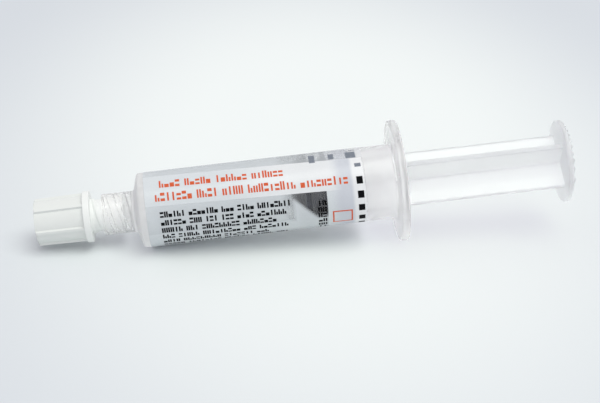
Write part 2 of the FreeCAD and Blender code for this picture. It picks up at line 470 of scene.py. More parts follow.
class Graph:
    """The node tree of a material or a world, filled through one method."""

    def __init__(self, owner: bpy.types.Material | bpy.types.World) -> None:
        """Clears the owner's node tree.

        Args:
            owner: the material or the world.
        """
        owner.use_nodes = True
        self.tree = owner.node_tree
        self.tree.nodes.clear()

    def add(
        self,
        kind: str,
        settings: dict[str, Any] | None = None,
        sockets: dict[str | int, Any] | None = None,
        output: str | int = 0,
    ) -> Signal:
        """Adds a node, with its settings first and its sockets after.

        Args:
            kind: the node's type.
            settings: properties of the node.
            sockets: values or signals of its inputs, by name or number. A colour gets its full alpha here.
            output: the output that the signal carries.

        Returns:
            The signal of the chosen output.
        """
        node = self.tree.nodes.new(kind)
        for name, value in (settings or {}).items():
            setattr(node, name, value)
        for name, value in (sockets or {}).items():
            if isinstance(value, Signal):
                self.tree.links.new(value.socket, node.inputs[name])
            elif node.inputs[name].type == "RGBA":
                node.inputs[name].default_value = (*value, 1.0)
            else:
                node.inputs[name].default_value = value
        return Signal(self, node.outputs[output] if node.outputs else None)

    def principled(self, sockets: dict[str, Any]) -> Signal:
        """Adds a Principled shader."""
        return self.add("ShaderNodeBsdfPrincipled", None, sockets)

    def mix_shader(self, factor: Signal | float, first: Signal, second: Signal) -> Signal:
        """Mixes two shaders by a factor."""
        return self.add("ShaderNodeMixShader", None, {0: factor, 1: first, 2: second})

    def mix_colour(self, factor: Signal, first: Signal | Colour, second: Signal | Colour) -> Signal:
        """Mixes two colours by a factor, through the Mix node's colour inputs, 6 and 7, and output, 2."""
        return self.add("ShaderNodeMix", {"data_type": "RGBA"}, {0: factor, 6: first, 7: second}, 2)

    def vector(self, operation: str, *values: Signal | Triple, output: str = "Vector") -> Signal:
        """Adds a Vector Math node on the values."""
        return self.add("ShaderNodeVectorMath", {"operation": operation}, dict(enumerate(values)), output)

    def ray(self, kind: str) -> Signal:
        """1 for rays of a kind."""
        return self.add("ShaderNodeLightPath", output=kind)

    def place(self) -> Signal:
        """The frame's own coordinates."""
        return self.add("ShaderNodeTexCoord", output="Object")

    def noise(self, scale: float, detail: float = 3.0, squash: Triple = (1.0, 1.0, 1.0)) -> Signal:
        """Noise in the frame's own coordinates, with scale in cells to the metre."""
        scaled = self.vector("MULTIPLY", self.place(), squash)
        return self.add("ShaderNodeTexNoise", None, {"Vector": scaled, "Scale": scale, "Detail": detail})

    def length_along(self) -> Signal:
        """Place along a turned piece in millimetres, from its wrap map."""
        wrap = self.add("ShaderNodeUVMap", {"uv_map": "wrap"})
        return self.add("ShaderNodeSeparateXYZ", None, {0: wrap}, "X") * UV_X_SPAN

    def turn_round(self) -> Signal:
        """Turn round a turned piece in degrees, 0 to 360 upwards from the front, from its wrap map."""
        wrap = self.add("ShaderNodeUVMap", {"uv_map": "wrap"})
        return self.add("ShaderNodeSeparateXYZ", None, {0: wrap}, "Y") * 360.0

    def bump(self, height: Signal, distance: float, strength: float) -> Signal:
        """Normal from a height of the given distance in metres."""
        sockets = {"Height": height, "Distance": distance, "Strength": strength}
        return self.add("ShaderNodeBump", None, sockets)

    def finish(self, surface: Signal) -> None:
        """Sends a shader to the material's output."""
        self.add("ShaderNodeOutputMaterial", None, {"Surface": surface})

    def finish_clear(self, surface: Signal, shade: Colour) -> None:
        """Sends a clear shader to the output, and lets lamp light and bounced light straight through.

        Args:
            surface: the shader that all other rays meet.
            shade: how much of each colour of the light passes.
        """
        through = self.add("ShaderNodeBsdfTransparent", None, {"Color": shade})
        lighting = self.ray("Is Shadow Ray").either(self.ray("Is Diffuse Ray"))
        self.finish(self.mix_shader(lighting, surface, through))


@dataclass(frozen=True, kw_only=True)
class Finish:
    """The look of a surface. Each finish fills the graph in its own way."""
    name: str

    def fill(self, graph: Graph) -> None:
        """Fills the material's graph."""
        raise NotImplementedError

    def dress(self, piece: bpy.types.Object) -> None:
        """Gives a piece this finish all over.

        Args:
            piece: the piece.
        """
        material = bpy.data.materials.new(self.name)
        self.fill(Graph(material))
        piece.data.materials.clear()
        piece.data.materials.append(material)


class Stretch(NamedTuple):
    """A stretch along a turned piece, in millimetres, and its share of the piece's milkiness."""
    start: float
    end: float
    share: float


class Fade(NamedTuple):
    """Where a soft change starts and where it is complete."""
    start: float
    end: float


@dataclass(frozen=True, kw_only=True)
class ClearMoulding(Finish):
    """Slightly milky clear plastic that light shines through, with clearer and milkier stretches."""
    tint: Colour
    milk: Colour
    milkiness: float
    roughness: float
    shade: Colour
    stretches: tuple[Stretch, ...] = ()
    stretch_run: float = 0.3
    ior: float = 1.49
    cloud_scale: float = 80.0
    milkiness_reach: float = 0.25
    roughness_reach: float = 0.15
    flow_scale: float = 1500.0
    flow_detail: float = 1.0
    flow_squash: Triple = (0.3, 1.0, 1.0)
    flow_height: float = 3e-6
    flow_strength: float = 0.2
    glow_share: float = 0.35

    def fill(self, graph: Graph) -> None:
        """Fills the material's graph.

        Args:
            graph: the graph.
        """
        cloud = graph.noise(self.cloud_scale)
        flow = graph.noise(self.flow_scale, self.flow_detail, self.flow_squash)
        amount = cloud.about(self.milkiness, self.milkiness * self.milkiness_reach)
        for stretch in self.stretches:
            x = graph.length_along()
            begun = x.ramp(stretch.start - self.stretch_run, stretch.start + self.stretch_run)
            ended = x.ramp(stretch.end - self.stretch_run, stretch.end + self.stretch_run)
            amount = amount * (1.0 - begun * (1.0 - ended) * (1.0 - stretch.share))
        clear = graph.principled({
            "Base Color": self.tint,
            "Roughness": cloud.about(self.roughness, self.roughness * self.roughness_reach),
            "IOR": self.ior,
            "Transmission Weight": 1.0,
            "Normal": graph.bump(flow, self.flow_height, self.flow_strength),
        })
        skin = graph.add("ShaderNodeBsdfDiffuse", None, {"Color": self.milk})
        glow = graph.add("ShaderNodeBsdfTranslucent", None, {"Color": self.milk})
        body = graph.mix_shader(self.glow_share, skin, glow)
        graph.finish_clear(graph.mix_shader(amount, clear, body), self.shade)


@dataclass(frozen=True, kw_only=True)
class OpaqueMoulding(Finish):
    """Moulded plastic or rubber with soft clouds in its colour and a fine grain on its skin."""
    colour: Colour
    shaded: Colour
    roughness: float
    roughness_reach: float
    specular: float
    cloud_scale: float
    grain_scale: float
    grain_height: float
    grain_strength: float
    grain_detail: float = 2.0

    def base_colour(self, graph: Graph, cloud: Signal) -> Signal:
        """The clouded colour."""
        return graph.mix_colour(cloud, self.colour, self.shaded)

    def fill(self, graph: Graph) -> None:
        """Fills the material's graph.

        Args:
            graph: the graph.
        """
        cloud = graph.noise(self.cloud_scale)
        grain = graph.noise(self.grain_scale, self.grain_detail)
        graph.finish(graph.principled({
            "Base Color": self.base_colour(graph, cloud),
            "Roughness": cloud.about(self.roughness, self.roughness_reach),
            "Specular IOR Level": self.specular,
            "Normal": graph.bump(grain, self.grain_height, self.grain_strength),
        }))


@dataclass(frozen=True, kw_only=True)
class PaintedGlowMoulding(OpaqueMoulding):
    """Opaque moulding with a painted glow: paler from the place where its wall thins. Lengths in millimetres.
    """
    # painted glow: the paler colour from where the wall thins
    thin_ink_and_painted_glow: Colour
    painted_glow_from: float
    painted_glow_run: float = 0.1

    def base_colour(self, graph: Graph, cloud: Signal) -> Signal:
        """The clouded colour, and the painted glow's paler one from where the wall thins.

        Args:
            graph: the material's graph.
            cloud: how far the colour is shaded.

        Returns:
            The colour.
        """
        clouded = super().base_colour(graph, cloud)
        # painted glow: the colour turns paler from the given place on
        paler = graph.length_along().ramp(self.painted_glow_from - self.painted_glow_run, self.painted_glow_from + self.painted_glow_run)
        return graph.mix_colour(paler, clouded, self.thin_ink_and_painted_glow)


@dataclass(frozen=True, kw_only=True)
class Ink(Finish):
    """Print on the label, a little uneven in its cover."""
    colour: Colour
    thin_ink_and_painted_glow: Colour
    roughness: float = 0.45
    roughness_reach: float = 0.1
    specular: float = 0.04
    cover_scale: float = 2600.0
    thinning: Fade = Fade(0.45, 0.8)

    def fill(self, graph: Graph) -> None:
        """Fills the material's graph.

        Args:
            graph: the graph.
        """
        cover = graph.noise(self.cover_scale)
        graph.finish(graph.principled({
            "Base Color": graph.mix_colour(cover.ramp(*self.thinning), self.colour, self.thin_ink_and_painted_glow),
            "Roughness": cover.about(self.roughness, self.roughness_reach),
            "Specular IOR Level": self.specular,
        }))


@dataclass(frozen=True, kw_only=True)
class Liquid(Finish):
    """Clear liquid that light shines through."""
    tint: Colour
    clearest: Colour
    ior: float
    shade: Colour
    drift_scale: float = 60.0

    def fill(self, graph: Graph) -> None:
        """Fills the material's graph.

        Args:
            graph: the graph.
        """
        drift = graph.noise(self.drift_scale)
        clear = graph.principled({
            "Base Color": graph.mix_colour(drift, self.tint, self.clearest),
            "Roughness": 0.0,
            "IOR": self.ior,
            "Transmission Weight": 1.0,
        })
        graph.finish_clear(clear, self.shade)


@dataclass(frozen=True)
class LabelEdge:
    """Edge of an inked area: its angle at the shoulder and its turn for each millimetre, in degrees."""
    angle: float
    drift: float

    def above(self, x: Signal, turn: Signal) -> Signal:
        """1 where a place on the label lies above this edge."""
        return turn - x * self.drift > self.angle

    def softly_below(self, x: Signal, turn: Signal, run: float) -> Signal:
        """Rises from 0 to 1 over a run of degrees below this edge."""
        return (self.angle - turn + x * self.drift).ramp(0.0, run)


@dataclass(frozen=True, kw_only=True)
class LabelFilm(Finish):
    """White ink in areas on clear film, with painted light in its colour and cover: a painted sheen along the
    band, painted shade on the panel, a painted floor reflection low on the window and a painted pale cover
    over the window's front. Turns in degrees from the front upwards, lengths in millimetres.
    """
    ink: Colour = (0.75, 0.80, 0.825)
    thin_ink: Colour = (0.81, 0.85, 0.87)
    # painted shade: the darker lavender ink that the white turns to from 41.35 mm on, over the panel
    panel_painted_shade_ink: Colour = (0.69, 0.72, 0.775)
    # paler ink for the painted highlight along the band, also used for the column by the squares
    painted_sheen_and_column_ink: Colour = (0.93, 0.945, 0.95)
    clear: Colour = (1.0, 1.0, 1.0)
    grain_scale: float = 3000.0
    grain_cover: float = 0.06
    roughness: float = 0.25
    roughness_reach: float = 0.05
    ink_cover: float = 0.78
    back_cover: float = 0.15
    top_cover: float = 0.3
    painted_reflection_cover: float = 0.66
    # painted light: a half white cover over the window's front, standing in for the pale light seen through
    # the liquid
    window_painted_light_cover: float = 0.5
    film_haze: float = 0.01
    back_top: LabelEdge = LabelEdge(128.0, -0.1)
    back_bottom: LabelEdge = LabelEdge(285.0, -0.1)
    band_top: LabelEdge = LabelEdge(86.3, -0.27)
    band_bottom: LabelEdge = LabelEdge(32.1, -0.19)
    panel_bottom: LabelEdge = LabelEdge(-95.0, -0.17)
    panel_start: float = 40.85
    ink_end: float = 49.3
    # painted reflection: a soft white cover below the window's low edge, and a sloping white patch by the
    # stopper's nose, standing in for the floor's pale reflection
    painted_reflection_top: LabelEdge = LabelEdge(-3.0, -0.17)
    painted_reflection_run: float = 14.0
    painted_slope_reflection_top: LabelEdge = LabelEdge(262.0, -7.1)
    painted_slope_reflection_run: float = 12.0
    painted_slope_reflection_fade: Fade = Fade(32.6, 34.1)
    window_painted_light_fade: Fade = Fade(30.0, 35.0)
    # where the painted shade on the panel comes in
    panel_painted_shade_fade: Fade = Fade(41.35, 44.35)
    # painted sheen: a highlight painted as paler ink along the band, rising from 18 mm and falling away at
    # the panel
    painted_sheen: float = 0.75
    painted_sheen_rise: Fade = Fade(18.0, 32.0)
    painted_sheen_fall: Fade = Fade(41.35, 44.85)
    column_fade: Fade = Fade(46.2, 47.2)

    def thinner(self, area: Signal, cover: float) -> Signal:
        """An area whose cover is less than the full ink's."""
        return area * (cover / self.ink_cover)

    def fill(self, graph: Graph) -> None:
        """Fills the material's graph.

        Args:
            graph: the graph.
        """
        x = graph.length_along()
        whole_turn = graph.turn_round()
        turn = whole_turn - (whole_turn > 180.0) * 360.0
        above_band = self.band_top.above(x, turn)
        band = (1.0 - above_band) * self.band_bottom.above(x, turn)
        panel = (1.0 - above_band) * self.panel_bottom.above(x, turn) * (x > self.panel_start)
        behind_top = self.back_top.above(x, whole_turn)
        back = behind_top * (1.0 - self.back_bottom.above(x, whole_turn))
        inked = band.either(panel).either(self.thinner(back, self.back_cover)) * (x < self.ink_end)
        # painted reflection of the floor: soft white cover low on the window, and along a slope by the
        # stopper's nose
        low = self.painted_reflection_top.softly_below(x, turn, self.painted_reflection_run)
        painted_slope_reflection = self.painted_slope_reflection_top.softly_below(x, turn, self.painted_slope_reflection_run) * x.ramp(*self.painted_slope_reflection_fade)
        inked = inked.either(self.thinner(low.either(painted_slope_reflection), self.painted_reflection_cover))
        inked = inked.either(self.thinner(above_band * (1.0 - behind_top), self.top_cover))
        # painted light: half white cover over the front of the window
        inked = inked.either(self.thinner(1.0 - x.ramp(*self.window_painted_light_fade), self.window_painted_light_cover))
        grain = graph.noise(self.grain_scale)
        plain = graph.mix_colour(grain, self.ink, self.thin_ink)
        # painted shade: the ink darkens between 41.35 mm and 44.35 mm
        plain = graph.mix_colour(x.ramp(*self.panel_painted_shade_fade), plain, self.panel_painted_shade_ink)
        # painted highlight along the band, and paler ink from 46.2 mm on by the squares
        painted_sheen = x.ramp(*self.painted_sheen_rise) * (1.0 - x.ramp(*self.painted_sheen_fall)) * band * self.painted_sheen
        painted_sheen_and_column = painted_sheen.either(x.ramp(*self.column_fade))
        white = graph.principled({
            "Base Color": graph.mix_colour(painted_sheen_and_column, plain, self.painted_sheen_and_column_ink),
            "Roughness": grain.about(self.roughness, self.roughness_reach),
        })
        clear = graph.add("ShaderNodeBsdfTransparent", None, {"Color": self.clear})
        full = grain * self.grain_cover + (self.ink_cover - self.film_haze)
        graph.finish(graph.mix_shader(inked * full + self.film_haze, clear, white))


@dataclass(frozen=True, kw_only=True)
class PaleFloor(Finish):
    """Matt floor with a painted vignette, a little darker away from the middle of the picture. Lengths in
    metres.
    """
    colour: Colour
    # painted vignette: the darker colour away from the middle
    edge: Colour
    middle: Triple
    squash: Triple
    fade: Fade

    def fill(self, graph: Graph) -> None:
        """Fills the material's graph.

        Args:
            graph: the graph.
        """
        offset = graph.vector("SUBTRACT", graph.place(), self.middle)
        scaled = graph.vector("MULTIPLY", offset, self.squash)
        # painted vignette: the colour darkens towards the edge colour away from the middle
        away = graph.vector("LENGTH", scaled, output="Value").ramp(*self.fade)
        graph.finish(graph.principled({
            "Base Color": graph.mix_colour(away, self.colour, self.edge),
            "Roughness": 1.0,
            "Specular IOR Level": 0.0,
        }))


CLEAR_BARREL = ClearMoulding(
    name="clear_barrel",
    tint=(0.996, 0.998, 0.99),
    milk=(0.985, 0.985, 0.965),
    milkiness=0.34,
    roughness=0.2,
    shade=(0.985, 0.98, 0.99),
    stretches=(
        Stretch(-12.0, -1.6, 0.6),      # tip and collar
        Stretch(-1.6, 1.6, 2.0),        # shoulder
        Stretch(1.6, 49.4, 0.05),       # wall under the label
        Stretch(56.0, 60.0, 0.75),      # flange
    ),
)
CLEAR_ROD = ClearMoulding(
    name="clear_rod",
    tint=(0.992, 0.998, 0.992),
    milk=(0.975, 0.985, 0.965),
    milkiness=0.16,
    roughness=0.34,
    shade=(0.9, 0.89, 0.92),
)
STOPPER_RUBBER = OpaqueMoulding(
    name="stopper_rubber",
    colour=(0.012, 0.014, 0.027),
    shaded=(0.022, 0.024, 0.04),
    roughness=0.5,
    roughness_reach=0.1,
    specular=0.3,
    cloud_scale=900.0,
    grain_scale=9000.0,
    grain_height=1e-5,
    grain_strength=0.6,
)
SALINE = Liquid(
    name="saline",
    tint=(0.985, 0.992, 1.0),
    clearest=(1.0, 1.0, 1.0),
    ior=1.333,
    shade=(0.98, 0.985, 0.99),
)
LABEL_FILM = LabelFilm(name="label_film")
BLACK_INK = Ink(name="print_black", colour=(0.004, 0.004, 0.005), thin_ink_and_painted_glow=(0.009, 0.009, 0.011))
ORANGE_INK = Ink(name="print_orange", colour=(0.66, 0.115, 0.045), thin_ink_and_painted_glow=(0.76, 0.2, 0.1))
GREY_INK = Ink(name="print_grey", colour=(0.2, 0.225, 0.265), thin_ink_and_painted_glow=(0.28, 0.305, 0.34))
PALE_FLOOR = PaleFloor(
    name="pale_floor",
    colour=(0.89, 0.935, 0.92),
    edge=(0.69, 0.73, 0.765),
    middle=(0.01, 0.046, 0.0),
    squash=(1.0, 0.6, 1.0),
    fade=Fade(0.03, 0.11),
)


@dataclass(frozen=True)
class Thread:
    """Double-start thread of a luer lock, right-handed about the syringe's axis. Lengths in millimetres."""
    lead: float = 5.0
    starts: int = 2
    flank: float = 0.16
    land: float = 0.2

    def height(self, x: float, angle: float) -> float:
        """Height of the thread at a place, 0 at its root and 1 on its crest.

        Args:
            x: place along the axis, in millimetres.
            angle: turn from the front upwards, in radians.

        Returns:
            The share of the thread's full height.
        """
        pitch = self.lead / self.starts
        phase = (x + self.lead * angle / math.tau) / pitch % 1.0
        offset = abs(phase - 0.5) * 2
        return eased((self.land + 2 * self.flank - offset) / (2 * self.flank))


@dataclass
class Barrel:
    """Clear barrel with its flange, shoulder, luer tip and threaded collar. Sizes in millimetres."""
    lathe: Lathe
    length: float = 56.4
    outer_r: float = 8.25
    bore_r: float = 7.2
    bore_edge_r: float = 0.3
    shoulder_rise: float = 1.1
    shoulder_r: float = 0.55
    bore_front: float = 2.0
    bore_cone: float = -0.96
    flange_r: float = 13.5
    flange_t: float = 1.85
    flange_rim_r: float = 0.5
    flange_root_r: float = 0.6
    bead_h: float = 0.14
    bead_w: float = 1.2
    bead_inset: float = 2.6
    bead_foot_r: float = 0.5
    bead_crown_r: float = 0.8
    mouth_bevel: float = 0.5
    mouth_edge_r: float = 0.1
    collar_length: float = 8.25
    collar_r: float = 4.55
    collar_edge_r: float = 0.2
    collar_root_r: float = 0.45
    collar_depth: float = 6.5
    thread_crest_r: float = 3.95
    thread_depth: float = 0.34
    thread_run: float = 0.5
    tip_reach: float = 2.1
    tip_r: float = 1.985
    tip_edge_r: float = 0.15
    luer_slope: float = 0.03
    lumen_r: float = 1.05
    lumen_edge_r: float = 0.1
    thread: Thread = Thread()

    @property
    def tip_end(self) -> float:
        """Where the luer tip ends."""
        return -self.collar_length - self.tip_reach

    @property
    def collar_floor(self) -> float:
        """Where the hollow of the collar ends."""
        return self.collar_depth - self.collar_length

    def outline(self) -> list[Corner]:
        """Outline of the moulding's section.

        Returns:
            Its corners as (x, r), from the lumen's end over the outside to the bore.
        """
        rear_x = self.length + self.flange_t
        bead_x = rear_x - self.bead_inset
        floor_r = self.tip_r + self.luer_slope * (self.collar_floor - self.tip_end)
        return [
            Corner(self.tip_end, self.lumen_r, self.lumen_edge_r),
            Corner(self.tip_end, self.tip_r, self.tip_edge_r),
            Corner(self.collar_floor, floor_r, self.collar_edge_r),
            Corner(self.collar_floor, self.thread_crest_r, 0.0, Form.THREAD),
            Corner(-self.collar_length, self.thread_crest_r, self.collar_edge_r),
            Corner(-self.collar_length, self.collar_r, self.collar_edge_r),
            Corner(-self.shoulder_rise, self.collar_r, self.collar_root_r),
            Corner(0.0, self.outer_r, self.shoulder_r),
            Corner(self.length, self.outer_r, self.flange_root_r),
            Corner(self.length, self.flange_r, self.flange_rim_r),
            Corner(rear_x, self.flange_r, self.flange_rim_r),
            Corner(rear_x, self.bore_r + self.mouth_bevel, self.mouth_edge_r),
            Corner(rear_x - self.mouth_bevel, self.bore_r, self.bore_edge_r),
            Corner(bead_x + self.bead_w / 2, self.bore_r, self.bead_foot_r),
            Corner(bead_x, self.bore_r - self.bead_h, self.bead_crown_r),
            Corner(bead_x - self.bead_w / 2, self.bore_r, self.bead_foot_r),
            Corner(self.bore_front, self.bore_r, self.bore_edge_r),
            Corner(self.bore_cone, self.lumen_r, self.bore_edge_r),
        ]

    def relief(self, x: float, r: float, angle: float) -> float:
        """Radius inside the collar, where the thread's grooves are cut out of its crest radius."""
        cut = 1.0 - self.thread.height(x, angle)
        return r + self.thread_depth * cut * fade(x, -self.collar_length, self.collar_floor, self.thread_run)

    def build(self) -> list[bpy.types.Object]:
        """Makes the barrel and stands it in for its node.

        Returns:
            The barrel.
        """
        barrel = self.lathe.turn("barrel_moulding", self.outline(), even_angles(FINE_AROUND), self.relief)
        CLEAR_BARREL.dress(barrel)
        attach(barrel, "barrel")
        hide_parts("barrel")
        return [barrel]


@dataclass
class TipCap:
    """White screw cap with a ribbed grip, a flange and a threaded hub. Sizes in millimetres."""
    lathe: Lathe
    barrel: Barrel
    gap: float = 2.6
    flange_t: float = 1.5
    flange_r: float = 5.7
    flange_edge_r: float = 0.25
    grip_length: float = 10.65
    grip_end_r: float = 5.175
    grip_root_r: float = 5.325
    grip_edge_r: float = 0.35
    grip_steps: int = 18
    rib_count: int = 6
    rib_height: float = 0.5
    rib_foot: float = 5.6
    rib_crown: float = 3.4
    rib_turn: float = 58.0
    rib_points: tuple[float, ...] = (-1.0, -0.8, -0.6, -0.45, -0.2, 0.2, 0.45, 0.6, 0.8, 1.0)
    hub_clearance: float = 0.1
    hub_length: float = 7.2
    thread_depth: float = 0.32
    thread_run: float = 0.6
    thread_overrun: float = 0.3
    socket_mouth_r: float = 2.27
    socket_edge_r: float = 0.1
    socket_end_r: float = 2.0
    socket_end: float = -11.05
    core_r: float = 1.6
    core_edge_r: float = 0.3
    end_wall: float = 1.6
    thread: Thread = Thread()

    @property
    def flange_rear(self) -> float:
        """Where the flange's rear face lies."""
        return -self.barrel.collar_length - self.gap

    @property
    def flange_front(self) -> float:
        """Where the flange's front face lies."""
        return self.flange_rear - self.flange_t

    @property
    def hub_end(self) -> float:
        """Where the hub ends inside the collar."""
        return self.flange_rear + self.hub_length

    def angles(self) -> list[float]:
        """Angles of the rings' points, close at the ribs' flanks.

        Returns:
            The angles in radians, in rising order.
        """
        turns = []
        step = 360.0 / self.rib_count
        span = step - 2 * self.rib_foot
        for rib in range(self.rib_count):
            middle = self.rib_turn + rib * step
            turns += [middle + share * self.rib_foot for share in self.rib_points]
            turns += [middle + self.rib_foot + span * i / self.grip_steps for i in range(1, self.grip_steps)]
        return sorted(math.radians(turn % 360.0) for turn in turns)

    def relief(self, x: float, r: float, angle: float) -> float:
        """Radius on the ribbed grip and on the hub's thread.

        Args:
            x: place along the axis, in millimetres.
            r: radius of the outline there.
            angle: turn from the front upwards, in radians.

        Returns:
            The radius with its relief.
        """
        if x > self.flange_rear - TINY:
            cut = 1.0 - self.thread.height(x, angle)
            threaded = fade(x, self.flange_rear, self.hub_end + self.thread_overrun, self.thread_run)
            return r - self.thread_depth * cut * threaded
        step = 360.0 / self.rib_count
        offset = abs((math.degrees(angle) - self.rib_turn + step / 2) % step - step / 2)
        height = eased((self.rib_foot - offset) / (self.rib_foot - self.rib_crown))
        along = (x - self.flange_front) / -self.grip_length
        over_ribs = self.grip_root_r + (self.grip_end_r - self.grip_root_r) * along
        return min(r, over_ribs - self.rib_height * (1.0 - height))

    def outline(self) -> list[Corner]:
        """Outline of the moulding's section.

        Returns:
            Its corners as (x, r), from the closed end over the outside to the socket.
        """
        end_x = self.flange_front - self.grip_length
        hub_r = self.barrel.thread_crest_r - self.hub_clearance
        return [
            Corner(end_x, 0.0),
            Corner(end_x, self.grip_end_r, self.grip_edge_r, Form.RIBS),
            Corner(self.flange_front, self.grip_root_r),
            Corner(self.flange_front, self.flange_r, self.flange_edge_r),
            Corner(self.flange_rear, self.flange_r, self.flange_edge_r),
            Corner(self.flange_rear, hub_r, 0.0, Form.THREAD),
            Corner(self.hub_end, hub_r),
            Corner(self.hub_end, self.socket_mouth_r, self.socket_edge_r),
            Corner(self.socket_end, self.socket_end_r),
            Corner(self.socket_end, self.core_r),
            Corner(end_x + self.end_wall, self.core_r, self.core_edge_r),
            Corner(end_x + self.end_wall, 0.0),
        ]

    def plastic(self) -> Finish:
        """Opaque white, with a painted glow: paler from the flange on, where the wall thins.

        Returns:
            The finish.
        """
        return PaintedGlowMoulding(
            name="white_cap",
            colour=(0.82, 0.85, 0.82),
            shaded=(0.78, 0.805, 0.78),
            # painted glow colour from the flange on
            thin_ink_and_painted_glow=(0.88, 0.905, 0.88),
            painted_glow_from=self.flange_front,
            roughness=0.34,
            roughness_reach=0.07,
            specular=0.45,
            cloud_scale=420.0,
            grain_scale=5200.0,
            grain_height=1.2e-5,
            grain_strength=0.5,
        )

    def build(self) -> list[bpy.types.Object]:
        """Makes the cap and stands it in for its node.

        Returns:
            The cap.
        """
        cap = self.lathe.turn("screw_cap", self.outline(), self.angles(), self.relief)
        self.plastic().dress(cap)
        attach(cap, "cap")
        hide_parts("tip_cap")
        return [cap]


@dataclass
class Stopper:
    """Rubber stopper with a conical nose and two seal rings. Sizes in millimetres."""
    lathe: Lathe
    barrel: Barrel
    nose: float = 33.4
    length: float = 8.6
    nose_flat_r: float = 0.9
    nose_edge_r: float = 0.3
    nose_height: float = 2.6
    nose_r: float = 6.7
    into_wall: float = 0.01
    seal_w: float = 1.3
    seal_slope: float = 0.3
    seal_edge_r: float = 0.25
    waist_r: float = 6.6
    waist_edge_r: float = 0.2
    rear_edge_r: float = 0.1
    neck_r: float = 2.55
    neck_length: float = 1.5
    head_r: float = 3.85
    head_length: float = 3.0

    @property
    def first_seal(self) -> float:
        """Where the front seal ring starts."""
        return self.nose + self.nose_height + self.seal_slope

    @property
    def rear(self) -> float:
        """Where the stopper ends."""
        return self.nose + self.length

    def outline(self) -> list[Corner]:
        """Outline of the stopper's section.

        Returns:
            Its corners as (x, r), from the nose over the rings to the pocket.
        """
        seal_r = self.barrel.bore_r + self.into_wall
        first_end = self.first_seal + self.seal_w
        second_seal = self.rear - self.seal_slope - self.seal_w
        pocket_rear = self.rear - self.neck_length
        pocket_front = pocket_rear - self.head_length
        return [
            Corner(self.nose, 0.0),
            Corner(self.nose, self.nose_flat_r, self.nose_edge_r),
            Corner(self.nose + self.nose_height, self.nose_r, self.seal_edge_r),
            Corner(self.first_seal, seal_r, self.seal_edge_r),
            Corner(first_end, seal_r, self.seal_edge_r),
            Corner(first_end + self.seal_slope, self.waist_r, self.waist_edge_r),
            Corner(second_seal - self.seal_slope, self.waist_r, self.waist_edge_r),
            Corner(second_seal, seal_r, self.seal_edge_r),
            Corner(second_seal + self.seal_w, seal_r, self.seal_edge_r),
            Corner(self.rear, self.waist_r, self.rear_edge_r),
            Corner(self.rear, self.neck_r),
            Corner(pocket_rear, self.neck_r),
            Corner(pocket_rear, self.head_r),
            Corner(pocket_front, self.head_r),
            Corner(pocket_front, 0.0),
        ]

    def build(self) -> list[bpy.types.Object]:
        """Makes the stopper and stands it in for its node.

        Returns:
            The stopper.
        """
        stopper = self.lathe.turn("rubber_stopper", self.outline(), even_angles(AROUND))
        STOPPER_RUBBER.dress(stopper)
        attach(stopper, "plunger")
        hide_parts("stopper")
        return [stopper]


